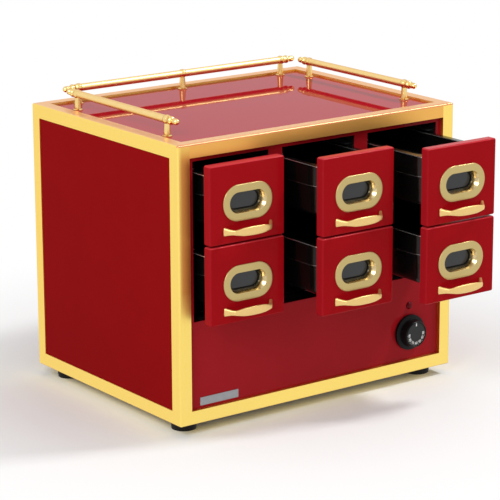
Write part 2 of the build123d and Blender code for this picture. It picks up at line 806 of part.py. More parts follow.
# Bow handle: the bowed band seen from above, cut to the swelling outline seen from the front.
half_length = handle_length / 2
handle_half_heights = [handle_foot_height / 2, handle_waist_height / 2, handle_belly_height / 2]
with BuildPart() as handle_piece:
    with BuildSketch(Plane.XY.offset(handle_z - handle_belly_height)):
        with BuildLine():
            root = -front_thickness
            bow_outer = root - handle_reach
            bow_inner = bow_outer + handle_thickness
            inner_half = half_length - handle_foot
            ThreePointArc((-half_length, root), (0, bow_outer), (half_length, root))
            Line((half_length, root), (inner_half, root))
            ThreePointArc((inner_half, root), (0, bow_inner), (-inner_half, root))
            Line((-inner_half, root), (-half_length, root))
        make_face()
    extrude(amount=2 * handle_belly_height)
    with BuildSketch(Plane.XZ.offset(front_thickness)):
        with BuildLine():
            foot_h, waist_h, belly_h = handle_half_heights
            end = half_length + handle_edge
            shape = [
                (-end, foot_h), (-handle_waist, waist_h), (0, belly_h),
                (handle_waist, waist_h), (end, foot_h),
            ]
            Spline(*[(x, handle_z + h) for x, h in shape])
            Spline(*[(x, handle_z - h) for x, h in shape])
            for x in (-end, end):
                Line((x, handle_z + foot_h), (x, handle_z - foot_h))
        make_face()
    extrude(amount=handle_reach + handle_edge, mode=Mode.INTERSECT)
    bow_edges = handle_piece.edges().filter_by(lambda edge: edge.length > handle_length)
    fillet(bow_edges, handle_edge)


def vessel(inset):
    """The pan's body filled solid, each wall moved in by the inset, with its stacking shoulder."""
    shoulder_z = rim_z - pan_shoulder_drop + inset
    with BuildPart() as body:
        with BuildSketch(Plane.XY.offset(shoulder_z)):
            with Locations((0, pan_length / 2)):
                RectangleRounded(
                    body_width - 2 * inset, body_length - 2 * inset, pan_corner - inset,
                )
        extrude(amount=pan_shoulder_drop - inset)
        with BuildSketch(Plane.XY.offset(shoulder_z)):
            with Locations((0, pan_length / 2)):
                RectangleRounded(
                    body_width - 2 * (inset + pan_shoulder_step),
                    body_length - 2 * (inset + pan_shoulder_step),
                    pan_corner - inset - pan_shoulder_step,
                )
        extrude(amount=pan_shoulder_drop - pan_depth, taper=pan_taper)
        fillet(body.faces().sort_by(Axis.Z)[0].edges(), pan_bottom_radius - inset)
    return body


with BuildPart() as pan_piece:
    add(vessel(0.0).part)
    with BuildSketch(Plane.XY.offset(rim_z)):
        with Locations((0, pan_length / 2)):
            RectangleRounded(pan_flange_width, pan_length, pan_flange_corner)
    extrude(amount=-pan_wall)
    add(vessel(pan_wall).part, mode=Mode.SUBTRACT)

# The six drawers: each piece is placed at its column's pull and its row's height.
column_names = ["left", "middle", "right"]
row_names = ["lower", "upper"]
drawer_pieces = {
    "front": front_piece,
    "porthole_ring": ring_piece,
    "porthole_glass": glass_piece,
    "handle": handle_piece,
    "pan": pan_piece,
}
for column, x in enumerate(column_x):
    drawer_y = closed_pan_y - column_pulls[column]
    for row, z in enumerate(row_z):
        for piece_name, piece in drawer_pieces.items():
            with BuildPart() as drawer_piece:
                with Locations((x, drawer_y, z)):
                    add(piece.part)
            save(drawer_piece, f"{column_names[column]}_{row_names[row]}_{piece_name}")
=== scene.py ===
import math

import bpy
import numpy as np
from mathutils import Matrix, Vector
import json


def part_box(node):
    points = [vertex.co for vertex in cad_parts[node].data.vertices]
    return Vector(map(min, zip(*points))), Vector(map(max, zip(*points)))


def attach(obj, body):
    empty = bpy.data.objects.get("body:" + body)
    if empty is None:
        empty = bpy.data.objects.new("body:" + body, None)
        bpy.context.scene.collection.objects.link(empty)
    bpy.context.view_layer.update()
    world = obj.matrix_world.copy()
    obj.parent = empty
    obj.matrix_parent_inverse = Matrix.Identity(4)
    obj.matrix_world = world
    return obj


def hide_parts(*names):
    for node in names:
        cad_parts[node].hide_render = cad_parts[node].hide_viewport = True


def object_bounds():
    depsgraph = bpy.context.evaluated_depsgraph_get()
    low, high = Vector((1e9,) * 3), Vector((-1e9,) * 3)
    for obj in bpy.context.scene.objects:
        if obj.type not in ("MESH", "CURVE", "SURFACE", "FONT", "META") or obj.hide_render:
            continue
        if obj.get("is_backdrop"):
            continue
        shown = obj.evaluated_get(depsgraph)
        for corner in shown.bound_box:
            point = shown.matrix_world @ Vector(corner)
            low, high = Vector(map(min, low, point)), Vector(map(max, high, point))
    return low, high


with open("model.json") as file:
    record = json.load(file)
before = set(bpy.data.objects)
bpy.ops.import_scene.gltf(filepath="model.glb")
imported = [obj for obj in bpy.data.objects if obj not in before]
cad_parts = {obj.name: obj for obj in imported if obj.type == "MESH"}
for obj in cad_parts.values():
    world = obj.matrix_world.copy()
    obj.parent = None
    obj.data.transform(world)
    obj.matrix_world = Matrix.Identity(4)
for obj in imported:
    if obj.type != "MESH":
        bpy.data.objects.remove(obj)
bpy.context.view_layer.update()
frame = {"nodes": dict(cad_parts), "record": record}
nodes = frame["nodes"]
record = frame["record"]

# %% [markdown]
# ## Colours and nodes
# Every colour is written as the hex value that a screen would show, and one function turns it to
# the linear numbers that the shader works with. One more function adds a shader node with its
# settings, values and links, so that each material reads as a list.
# %% Colour and node helpers
MM = 0.001


def linear(hex_text):
    """Linear RGBA of an sRGB hex colour: c / 12.92 if small, else ((c + 0.055) / 1.055) ** 2.4."""
    channels = [int(hex_text[i : i + 2], 16) / 255 for i in (1, 3, 5)]
    return (*[c / 12.92 if c <= 0.04045 else ((c + 0.055) / 1.055) ** 2.4 for c in channels], 1.0)


def add_node(tree, kind, values=None, links=None, **settings):
    """One shader node with its settings, socket values and incoming links."""
    node = tree.nodes.new(kind)
    for name, value in settings.items():
        setattr(node, name, value)
    for socket, value in (values or {}).items():
        node.inputs[socket].default_value = value
    for socket, source in (links or {}).items():
        tree.links.new(source, node.inputs[socket])
    return node


def new_material(name):
    """An empty node material with its output node."""
    material = bpy.data.materials.new(name)
    material.use_nodes = True
    material.node_tree.nodes.clear()
    output = add_node(material.node_tree, "ShaderNodeOutputMaterial")
    return material, material.node_tree, output


print("lacquer red in linear light:", [round(c, 3) for c in linear("#A00D15")[:3]])

# %% [markdown]
# ## One recipe for the finishes
# Real surfaces are never one flat tone: plating, lacquer and rubber all drift a little in colour
# and gloss. A picture could show that, but a noise of a real size in millimetres needs no file
# and has no seams. Where one face of a solid is given another tone, a band picks it by its place,
# so that the CAD solid needn't be cut. These bands paint highlights, shade and reflections: on the
# edges of the lacquer, on the gold and on the pans.
# %% Finish with drifting colour and bands


def near(axis, place, half_mm, soft_mm=0.05):
    """One limit of a band: within so many millimetres of a place along an axis, then faded out."""
    return axis, place, half_mm * MM, soft_mm * MM


def band_share(tree, axes, limits):
    """The share of a band's colour at a point: the product of the shares of its limits.

    Share of one limit = (half width + soft - |axis - place|) / soft, kept between 0 and 1.
    """
    share = None
    for axis, place, half_width, soft in limits:
        offset = add_node(
            tree, "ShaderNodeMath", {1: place}, {0: axes.outputs[axis]}, operation="SUBTRACT"
        )
        away = add_node(tree, "ShaderNodeMath", links={0: offset.outputs[0]}, operation="ABSOLUTE")
        inside = add_node(
            tree, "ShaderNodeMapRange",
            {"From Min": half_width + soft, "From Max": half_width}, {"Value": away.outputs[0]},
        ).outputs["Result"]
        if share is not None:
            inside = add_node(
                tree, "ShaderNodeMath", links={0: share, 1: inside}, operation="MULTIPLY"
            ).outputs[0]
        share = inside
    return share


def finish(name, light, dark, grain_mm, rough, relief_mm=0.0, bands=(), **sockets):
    """A surface whose colour and roughness drift between two values in a noise of a real size.

    Noise scale = 1 / grain in metres. Each band is its limits and the colour that it gives.
    """
    material, tree, output = new_material(name)
    place = add_node(tree, "ShaderNodeTexCoord").outputs["Object"]
    noise = add_node(
        tree, "ShaderNodeTexNoise",
        {"Scale": 1 / (grain_mm * MM), "Detail": 3.0, "Roughness": 0.55}, {"Vector": place},
    ).outputs["Fac"]
    colour = add_node(
        tree, "ShaderNodeMix", {"A": linear(dark), "B": linear(light)}, {"Factor": noise},
        data_type="RGBA",
    ).outputs["Result"]
    if bands:
        axes = add_node(tree, "ShaderNodeSeparateXYZ", links={0: place})
    for limits, band_colour in bands:
        colour = add_node(
            tree, "ShaderNodeMix", {"B": linear(band_colour)},
            {"Factor": band_share(tree, axes, limits), "A": colour}, data_type="RGBA",
        ).outputs["Result"]
    gloss = add_node(
        tree, "ShaderNodeMapRange", {"To Min": rough[0], "To Max": rough[1]}, {"Value": noise}
    )
    shader = add_node(
        tree, "ShaderNodeBsdfPrincipled", sockets,
        {"Base Color": colour, "Roughness": gloss.outputs["Result"]},
    )
    if relief_mm:
        bump = add_node(
            tree, "ShaderNodeBump", {"Strength": 1.0, "Distance": relief_mm * MM},
            {"Height": noise},
        )
        tree.links.new(bump.outputs["Normal"], shader.inputs["Normal"])
    tree.links.new(shader.outputs["BSDF"], output.inputs["Surface"])
    return material


finishes = {}
print("finish recipe ready")

# %% [markdown]
# ## Gilt metal
# The frame is welded square steel tube with a brushed, gold toned plating, and the gallery, the
# window rings and the handles are brass. All are metals, so they keep the default IOR and show
# their own colour in whatever they reflect. The brush marks are finer than a pixel, so they aren't
# drawn one by one: a noise of a few millimetres varies the tone and the sharpness a little.
# %% Gold tubes
# Towards the edge of a curve the gold and the brass turn darker and redder; this is the tint there.
EDGE_COLOUR = (0.76, 0.52, 0.58, 1.0)
GILT = {"Metallic": 1.0, "Specular Tint": EDGE_COLOUR}


def gold_plating(name, bands=()):
    """Gold-plated brushed steel tube: the brushing spreads each reflection to a soft sheen."""
    return finish(name, "#FFE27C", "#FCDA70", 3.0, (0.34, 0.39), bands=bands, **GILT)


post_low, post_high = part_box("frame_posts")
left_x, front_y, frame_top = post_low[0], post_low[1], post_high[2]
front_face = near("Y", front_y, 0.5, 0.2)
# Painted reflection and shade: the top faces are painted a pinker gold, and the rounded edge
# between top and front is painted darker, to dim the highlight of the lamp there.
painted_top_reflection = [
    ([near("Z", frame_top, 0.3, 0.2)], "#FFE0A6"),
    ([near("Z", frame_top, 2.4, 0.3), near("Y", front_y + 1 * MM, 1.6, 0.8)], "#DE9068"),
]
# Painted reflection: the front of the top rail and of the left post is painted browner, as the
# mirror image of a darker surround.
painted_reflection_rail = (
    [front_face, near("Z", frame_top, 30, 1), near("X", 0, 231, 18)], "#EFB45E",
)
painted_reflection_post = (
    [front_face, near("X", left_x + 20 * MM, 13, 6), near("Z", frame_top - 115 * MM, 95, 35)],
    "#DFA152",
)
finishes["gold_tube"] = gold_plating("gold_plated_brushed_steel")
finishes["gold_top_rails"] = gold_plating(
    "gold_plated_brushed_steel_rails", [painted_reflection_rail, *painted_top_reflection]
)
finishes["gold_posts"] = gold_plating("gold_plated_brushed_steel_posts", [painted_reflection_post, *painted_top_reflection])
print("gold:", ", ".join(finishes))

# %% Brass
# Turned and polished brass of the posts and finials: sharp bright reflections, warm yellow.
finishes["gallery_brass"] = finish(
    "polished_brass", "#F6DA96", "#ECCB80", 6.0, (0.15, 0.21), **GILT
)
# Drawn brass tube, only satin finished: a soft light line on top and no sharp reflections.
finishes["tube_brass"] = finish(
    "satin_drawn_brass", "#FAE09E", "#F2D28A", 8.0, (0.34, 0.42), **GILT
)
# Cast brass with a bead-blasted face: it scatters the light to a flat pale gold.
finishes["porthole_brass"] = finish(
    "satin_brass", "#CAB57C", "#BFA970", 1.5, (0.34, 0.42), 0.004, Metallic=1.0
)
# Brass throat, machined and buffed by hand: its colour drifts in patches from brown to pale gold,
# painted reflections of its surroundings.
finishes["throat_brass"] = finish(
    "buffed_brass", "#FFF0C0", "#8A6630", 6.0, (0.16, 0.26), Metallic=1.0
)
# Cast brass under a clear lacquer: a warm cream gold with a soft sheen, less of a mirror.
finishes["handle_brass"] = finish(
    "lacquered_cast_brass", "#EFCE88", "#E5BD74", 4.0, (0.27, 0.36), Metallic=0.7
)
print("gold and brass:", len(finishes), "finishes")

# %% [markdown]
# ## Red lacquer
# The sheets and drawer fronts are sprayed with a deep red lacquer. The coat is smooth, so its
# reflections stay sharp, and the top panel, which is seen at a low angle, works as a mirror. A
# real lacquer would mirror a white room more than the photograph shows, so each IOR here is lower
# than a real lacquer has, and was matched to the photograph.
# %% Lacquers
# Sprayed lacquer on the side sheets: the deepest red, with hardly any reflection.
finishes["red_lacquer"] = finish(
    "deep_red_lacquer", "#8E0A0D", "#87080B", 60.0, (0.05, 0.09), IOR=1.05
)
# Sprayed lacquer on the fascia: a lighter and warmer red that mirrors the room faintly.
finishes["red_fascia"] = finish(
    "deep_red_lacquer_fascia", "#A2171F", "#9C151D", 60.0, (0.06, 0.10),
    **{"IOR": 1.2, "Specular IOR Level": 0.3},
)
# Sprayed and polished lacquer on the top sheet: at a low angle it mirrors rail and room.
finishes["red_top"] = finish(
    "mirror_red_lacquer", "#AC1425", "#A81223", 80.0, (0.015, 0.03), IOR=1.105
)
# Sprayed lacquer on the drawer fronts. Their top edges and left edges are painted a lighter red:
# painted highlights where the rounded edges catch the light.
EDGE_MM = 1.6
painted_edge_highlights = [
    ([near("X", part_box(f"{column}_upper_front")[0][0], EDGE_MM)], "#9E151E")
    for column in ("left", "middle", "right")
]
painted_edge_highlights += [
    ([near("Z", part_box(f"left_{row}_front")[1][2], EDGE_MM)], "#C2323A")
    for row in ("lower", "upper")
]
finishes["drawer_lacquer"] = finish(
    "deep_red_lacquer_drawer", "#A00D15", "#990C13", 50.0, (0.10, 0.14), bands=painted_edge_highlights, IOR=1.1
)
print("red lacquers:", sum("red_lacquer" in m.name for m in finishes.values()))

# %% [markdown]
# ## Steel inside, plastics and rubber
# The bays behind the fronts are plain sheet that has darkened with heat, the pans are polished
# stainless steel, and the knob, the gland and the feet are black. The gloss of the knob and the
# feet is kept low, because a white room lifts every dark surface.
# %% Bare metals and glass
finishes.update(
    # Galvanised sheet, rolled and dulled by heat: grey with a faint crystal mottle.
    zinc_sheet=finish(
        "heat_darkened_zinc_sheet", "#4A4A4C", "#38393B", 9.0, (0.42, 0.60), Metallic=0.7
    ),
    # Drawn steel sheath of the heater, oxidised in use: a dull brownish grey.
    element_sheath=finish(
        "oxidised_heater_sheath", "#5A544E", "#3C3834", 3.0, (0.50, 0.65), Metallic=1.0
    ),
    # Anodised aluminium of the plate, brushed before its bath: an even satin grey.
    plate_aluminium=finish(
        "satin_anodised_aluminium", "#A4A3A6", "#8E8D90", 12.0, (0.34, 0.42), Metallic=1.0
    ),
    # Zinc-plated steel of the screws, barrel plated: pale grey with small bright spots.
    screw_steel=finish(
        "zinc_plated_steel", "#C6C8C8", "#B4B6B6", 2.0, (0.26, 0.36), Metallic=1.0
    ),
    # Float glass tinted in the melt: smooth and dark, it mirrors the room a little. It is drawn
    # opaque, because only the dark pan lies behind it.
    dark_glass=finish("smoked_glass", "#26282C", "#212327", 12.0, (0.04, 0.07)),
)
print(len(finishes), "finishes")

# %% Plastics and rubber
finishes.update(
    # Rubber from a blasted mould: black and matt.
    foot_rubber=finish(
        "moulded_rubber", "#161514", "#100F0E", 2.0, (0.62, 0.74), 0.02,
        **{"Specular IOR Level": 0.15},
    ),
    # ABS from a finely grained mould: black with a dim sheen.
    knob_plastic=finish(
        "moulded_black_abs", "#101112", "#0B0C0D", 1.2, (0.34, 0.44), 0.01,
        **{"Specular IOR Level": 0.12},
    ),
    # Phenolic from a plain mould: black with a soft sheen.
    black_plastic=finish(
        "moulded_black_phenolic", "#202022", "#19191B", 1.5, (0.40, 0.50), 0.01
    ),
    # Nylon from a plain mould: black with a waxy sheen.
    gland_nylon=finish("moulded_nylon", "#1B1B1C", "#151516", 1.5, (0.42, 0.52), 0.01),
    # Uncoloured polyamide from a plain mould: cream, with a soft sheen.
    terminal_plastic=finish(
        "moulded_cream_polyamide", "#D8D3C2", "#CDC8B6", 1.5, (0.40, 0.50), 0.01
    ),
    # Clear red lens from a polished mould: dark while the lamp is off.
    lamp_red=finish(
        "clear_red_lens", "#6E0B16", "#5E0912", 4.0, (0.20, 0.28),
        **{"IOR": 1.3, "Specular IOR Level": 0.2},
    ),
    # Film printed in dark grey, matt coated: the ground of the dial's numbers.
    dial_grey=finish(
        "printed_dial_film", "#2E302F", "#292B2A", 1.0, (0.40, 0.48),
        **{"Specular IOR Level": 0.2},
    ),
)
# White ink from a printing pad: flat and matt.
white_print = finish("white_pad_print", "#F6F6F2", "#EEEEEA", 3.0, (0.45, 0.55))
print(len(finishes), "finishes and the ink")

# %% [markdown]
# ## Dressing the CAD solids
# Each solid takes the finish that the record names for it. Only the slots of the object are
# filled, so the mesh of the solid is left as it is. The pans are deep drawn from sheet and then
# polished. Their walls mirror the dark bay, so they are written dark, and only the cut rim and the
# bend of the shoulder catch the light, so these two lines are bands.
# %% Dress the nodes
slot_of = {part["node"]: part["material_slot"] for part in record["subparts"]}
SHOULDER_DROP = 33 * MM  # from the rim of a pan down to its shoulder


def pan_finish(row):
    """Deep drawn and polished stainless steel, written dark, with painted highlight lines at rim
    and shoulder.
    """
    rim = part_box(f"left_{row}_pan")[1][2]
    # Painted highlights: a light line at the rim and at the shoulder.
    lines = [
        ([near("Z", rim - 0.55 * MM, 0.4)], "#E2E0DC"),
        ([near("Z", rim - SHOULDER_DROP, 0.6)], "#8A8683"),
    ]
    return finish(
        f"polished_stainless_pan_{row}", "#2B2826", "#221F1E", 7.0, (0.14, 0.22), bands=lines,
        Metallic=0.8,
    )


pan_finishes = {row: pan_finish(row) for row in ("lower", "upper")}
own_finish = {"frame_top_rails": "gold_top_rails", "frame_posts": "gold_posts"}


def finish_of(name):
    """The finish of a CAD node: by its name where it has its own, else by its slot."""
    if slot_of[name] == "pan_steel":
        return pan_finishes[name.split("_")[1]]
    if name.startswith("gallery_rail"):
        return finishes["tube_brass"]
    return finishes[own_finish.get(name, slot_of[name])]


for name, node in nodes.items():
    for slot in node.material_slots:
        slot.link = "OBJECT"
        slot.material = finish_of(name)
print("dressed", len(nodes), "nodes, of", len(set(slot_of.values())), "material slots")


def grid_piece(name, points, body, slot, caps=False):
    """A mesh from an array of rows x columns x 3 points.

    Face (i, j) joins rows i, i+1 and columns j, j+1, and the column numbers wrap round.
    """
    rows, columns, _ = points.shape
    i, j = [a.ravel() for a in np.meshgrid(np.arange(rows - 1), np.arange(columns), indexing="ij")]
    j2 = (j + 1) % columns
    here, below = i * columns, (i + 1) * columns
    faces = np.stack([here + j, here + j2, below + j2, below + j], 1).tolist()
    if caps:
        faces += [list(range(columns))[::-1], list(range((rows - 1) * columns, rows * columns))]
    mesh = bpy.data.meshes.new(name)
    mesh.from_pydata(points.reshape(-1, 3), [], faces)
    mesh.update()
    mesh.shade_smooth()
    mesh.materials.append(finishes[slot])
    piece = bpy.data.objects.new(name, mesh)
    bpy.context.scene.collection.objects.link(piece)
    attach(piece, body)
    return piece


print("grid helper ready")

# %% Profile helper


def rounded(points, radius, steps=5):
    """A profile with round inner corners: each corner is a quadratic blend of its two sides.

    Blend = (1 - t)**2 * start + 2 * t * (1 - t) * corner + t**2 * end for t from 0 to 1.
    """
    points = np.asarray(points, float)
    corner = points[1:-1]
    back, ahead = points[:-2] - corner, points[2:] - corner
    back_length = np.linalg.norm(back, axis=1)[:, None]
    ahead_length = np.linalg.norm(ahead, axis=1)[:, None]
    reach = np.minimum(radius, np.minimum(back_length, ahead_length) / 2)
    start, end = corner + back / back_length * reach, corner + ahead / ahead_length * reach
    t = np.linspace(0, 1, steps)[None, :, None]
    blend = (1 - t) ** 2 * start[:, None] + 2 * t * (1 - t) * corner[:, None] + t**2 * end[:, None]
    return np.concatenate([points[:1], blend.reshape(-1, points.shape[1]), points[-1:]])


print("profile helper ready")

# %% [markdown]
# ## Window rings
# Each window has a cast brass ring with round ends, satin on its face and buffed in its throat,
# where the light runs down to the glass. A round-ended outline is a segment grown by a radius, so
# one profile of radius against depth gives the whole ring when it is carried round the segment.
# A cut in a solid could give the ring too, but its throat would be a plain cone. The throat here
# swells a little towards its axis, like the bell of a trumpet, and ends shorter than it begins.
# %% Surface round a segment


def round_ended(half_straight, profile, centre, shorten=0.0, rise=0.0, turns=48):
    """Points of a surface carried round a segment.

    Point = segment end + radius * (cos, sin) of the angle; the profile gives radius and depth.
    Along the profile the segment may be shortened and raised, by one value for each row.
    """
    half = np.linspace(-math.pi / 2, math.pi / 2, turns)
    angle = np.concatenate([half, half + math.pi])
    side = np.repeat([1, -1], turns)
    radius, depth = profile[:, 0][:, None], profile[:, 1][:, None]
    x = centre[0] + side[None] * (half_straight - shorten) + radius * np.cos(angle)[None]
    z = centre[2] + rise + radius * np.sin(angle)[None]
    y = centre[1] + depth + 0 * angle[None]
    return np.stack([x, y, z], 2)


drawers = sorted(n[: -len("_front")] for n in nodes if n.endswith("_front"))
print("drawers:", ", ".join(drawers))

# %% Face, throat and gasket of each window
MOUTH, END = 15.0 * MM, 11.9 * MM  # radius of the throat at the face and at the glass
BELL = 1.1 * MM  # how far its wall swells towards the axis between the two, past a straight cone
SHORTEN, RISE = 2.2 * MM, 0.4 * MM  # of the segment at the glass, against the one at the face
down = np.array([0, 0.08, 0.2, 0.35, 0.5, 0.65, 0.8, 0.92, 1.0])  # share of the way to the glass
row_share = np.append(down, 1.0)[:, None]
for drawer in drawers:
    low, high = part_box(drawer + "_porthole_ring")
    face_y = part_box(drawer + "_front")[0][1]
    centre = ((low[0] + high[0]) / 2, face_y, (low[2] + high[2]) / 2)
    half_height = (high[2] - low[2]) / 2
    half_straight = (high[0] - low[0]) / 2 - half_height
    proud, depth = face_y - low[1], high[1] - face_y
    face_profile = rounded(
        [
            (half_height, 0.0), (half_height, -0.7 * proud), (half_height - 1.3 * MM, -proud),
            (MOUTH + 0.4 * MM, -proud), (MOUTH, -0.9 * proud),
        ],
        0.6 * MM,
    )
    cone = np.stack(
        [
            MOUTH + (END - MOUTH) * down - BELL * np.sin(math.pi * down),
            -0.9 * proud + (0.9 * proud + depth) * down,
        ],
        1,
    )
    throat_profile = np.concatenate([cone, [[MOUTH + 0.8 * MM, depth]]])
    gasket_profile = rounded(
        [
            (END + 0.3 * MM, depth - 1.4 * MM), (END - 0.7 * MM, depth - 1.2 * MM),
            (END - 0.9 * MM, depth),
        ],
        0.3 * MM,
    )
    face = grid_piece(
        drawer + "_ring_face", round_ended(half_straight, face_profile, centre),
        drawer + "_drawer", "porthole_brass",
    )
    throat = grid_piece(
        drawer + "_ring_throat",
        round_ended(half_straight, throat_profile, centre, SHORTEN * row_share, RISE * row_share),
        drawer + "_drawer", "throat_brass",
    )
    grid_piece(
        drawer + "_glass_gasket",
        round_ended(half_straight, gasket_profile, centre, SHORTEN, RISE),
        drawer + "_drawer", "foot_rubber",
    )
    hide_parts(drawer + "_porthole_ring")
ring_faces = len(face.data.polygons) + len(throat.data.polygons)
print(len(drawers), "window rings,", ring_faces, "faces each")

# %% [markdown]
# ## Bow handles
# Each handle is a cast bar that springs from the front on slanted feet, bows out and swells in
# the middle. A curve with a bevel would give it one thickness all along. Here its two edges are
# worked out as seen from above and its height as seen from the front, and a rounded section is
# carried from foot to foot between them.
# %% Section carried along a bow


def bow(half_length, foot, reach, thickness, heights, steps=72, around=24):
    """Section points along the bow.

    The outer and inner edges are half superellipses, x = a * c ** k and y = -b * s ** k for the
    cosine c and sine s of an angle, cut off by a slanted line y = -(slope * (a - |x|) + rise) at
    each foot. A point is the middle of the two edges plus a rounded section, whose height follows
    a curve through the heights of foot, waist and belly.
    """
    theta = np.linspace(math.pi, 0, steps)
    squareness, slope, rise = 0.74, 1.3, 0.8 * MM
    section_squareness = 0.55

    def edge(a, b):
        c, s = np.cos(theta), np.sin(theta)
        x = a * np.sign(c) * np.abs(c) ** squareness
        out = np.minimum(b * np.clip(s, 0, 1) ** squareness, slope * (a - np.abs(x)) + rise)
        return np.stack([x, -out], 1)

    outer, inner = edge(half_length, reach), edge(half_length - foot, reach - thickness)
    middle, across = (outer + inner) / 2, (outer - inner) / 2
    step = np.linalg.norm(np.diff(middle, axis=0), axis=1)
    run = np.concatenate([[0], np.cumsum(step)])
    from_middle = np.abs(run / run[-1] * 2 - 1)
    height = np.interp(from_middle, *heights) / 2
    angle = np.linspace(0, 2 * math.pi, around, endpoint=False)
    c, s = [np.sign(v) * np.abs(v) ** section_squareness for v in (np.cos(angle), np.sin(angle))]
    x = middle[:, :1] + across[:, :1] * c[None]
    y = middle[:, 1:] + across[:, 1:] * c[None]
    z = height[:, None] * s[None]
    return np.stack([x, y, z], 2)


print("bow helper ready")

# %% Six handles
FOOT, BAR = 5.5 * MM, 4 * MM  # width of a foot on the front, thickness of the bar
handle_low, handle_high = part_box(drawers[0] + "_handle")
belly = handle_high[2] - handle_low[2]
# Height of the bar at shares of the way from its middle to a foot: belly, waist, foot.
way = [0, 0.18, 0.40, 0.58, 0.70, 0.85, 1]
height_there = [belly, 0.98 * belly, 0.88 * belly, 7.8 * MM, 6.6 * MM, 8.6 * MM, 12.0 * MM]
share = np.linspace(0, 1, 41)
smooth = np.interp(share, way, height_there)
for _ in range(3):
    smooth[1:-1] = (smooth[:-2] + 2 * smooth[1:-1] + smooth[2:]) / 4
for drawer in drawers:
    low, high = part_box(drawer + "_handle")
    centre = np.array([(low[0] + high[0]) / 2, high[1], (low[2] + high[2]) / 2])
    points = bow((high[0] - low[0]) / 2, FOOT, high[1] - low[1], BAR, (share, smooth))
    handle = grid_piece(
        drawer + "_bow_handle", points[::-1] + centre, drawer + "_drawer", "handle_brass",
        caps=True,
    )
    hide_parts(drawer + "_handle")
print("handles:", len(drawers), "of", len(handle.data.polygons), "faces")

# %% [markdown]
# ## Name plate
# A thin satin metal plate with a bare face sits low on the fascia at the left. A box would do
# from far away. A round-cornered outline that closes at the face gives its soft corners too.
# %% Bare plate


def plate(name, low, high, body, slot, radius=1.0 * MM):
    """A thin plate: a round-cornered rectangle pushed out along -Y and closed at its face.

    Outline = corner signs * (half size - radius) + radius * (cos, sin) of the angle.
    """
    low, high = Vector(low), Vector(high)
    quarter = np.linspace(0, math.pi / 2, 5)
    angle = np.concatenate([quarter + k * math.pi / 2 for k in range(4)])
    half = np.array([(high[0] - low[0]) / 2 - radius, (high[2] - low[2]) / 2 - radius])
    sign = np.repeat([[1, 1], [-1, 1], [-1, -1], [1, -1]], 5, axis=0)
    outline = sign * half + radius * np.stack([np.cos(angle), np.sin(angle)], 1)
    depths = np.array([high[1], low[1] + 0.2 * MM, low[1], low[1]])
    scale = np.array([1, 1, 0.995, 0.0])
    x = (low[0] + high[0]) / 2 + outline[None, :, 0] * scale[:, None]
    z = (low[2] + high[2]) / 2 + outline[None, :, 1] * scale[:, None]
    y = depths[:, None] + 0 * x
    piece = grid_piece(name, np.stack([x, y, z], 2), body, slot)
    piece.data.shade_flat()
    return piece


PLATE_LEFT, PLATE_RIGHT = -212 * MM, -145 * MM
PLATE_BOTTOM, PLATE_TOP = 24 * MM, 36 * MM  # above the lowest edge of the frame
PLATE_THICKNESS = 0.8 * MM
fascia_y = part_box("front_fascia")[0][1]
frame_bottom = post_low[2]
name_plate = plate(
    "bare_name_plate",
    (PLATE_LEFT, fascia_y - PLATE_THICKNESS, frame_bottom + PLATE_BOTTOM),
    (PLATE_RIGHT, fascia_y, frame_bottom + PLATE_TOP),
    "cabinet", "plate_aluminium",
)
print("name plate", [round(v / MM) for v in name_plate.dimensions], "mm")

# %% [markdown]
# ## Screws of the back sheet
# The back sheet is held by small round-headed screws round its edge. A screw head is a dome with
# a cross slot. A boolean cut would leave ragged faces on so small a dome, so the slot is pressed
# into the grid by lowering the points that lie inside it.
# %% Eight screw heads


def screw_head(name, centre, radius, height, body, slot, rows=14, turns=48):
    """A dome y = height * (1 - r**2) ** 0.5, lowered by 0.45 of its height inside a cross."""
    slot_half_width, slot_reach = 0.13, 0.62  # shares of the radius
    slot_depth = 0.45  # share of the height
    r = np.concatenate([np.linspace(0, 0.9, rows - 4), [0.95, 0.98, 1.0, 1.0]])[:, None]
    angle = np.linspace(0, 2 * math.pi, turns, endpoint=False)[None]
    x, z = r * np.cos(angle), r * np.sin(angle)
    dome = height * np.sqrt(np.clip(1 - r**2, 0, 1)) * np.ones_like(angle)
    in_bar = (np.abs(x) < slot_half_width) | (np.abs(z) < slot_half_width)
    dome = np.where(in_bar & (r < slot_reach), dome - slot_depth * height, dome)
    dome[-1] = -0.3 * MM
    points = np.stack([centre[0] + radius * x, centre[1] + dome, centre[2] + radius * z], 2)
    return grid_piece(name, points, body, slot)


SCREW_RADIUS, SCREW_HEIGHT = 3.6 * MM, 1.9 * MM
back_low, back_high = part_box("back_panel")
edge_in = 12 * MM
columns = np.linspace(back_low[0] + edge_in, back_high[0] - edge_in, 3)
rows = np.linspace(back_low[2] + edge_in, back_high[2] - edge_in, 3)
places = [(x, z) for z in rows for x in columns if (x, z) != (columns[1], rows[1])]
for k, (x, z) in enumerate(places):
    screw_head(
        f"back_screw_{k + 1}", (x, back_high[1], z), SCREW_RADIUS, SCREW_HEIGHT,
        "cabinet", "screw_steel",
    )
print("back screws:", len(places))

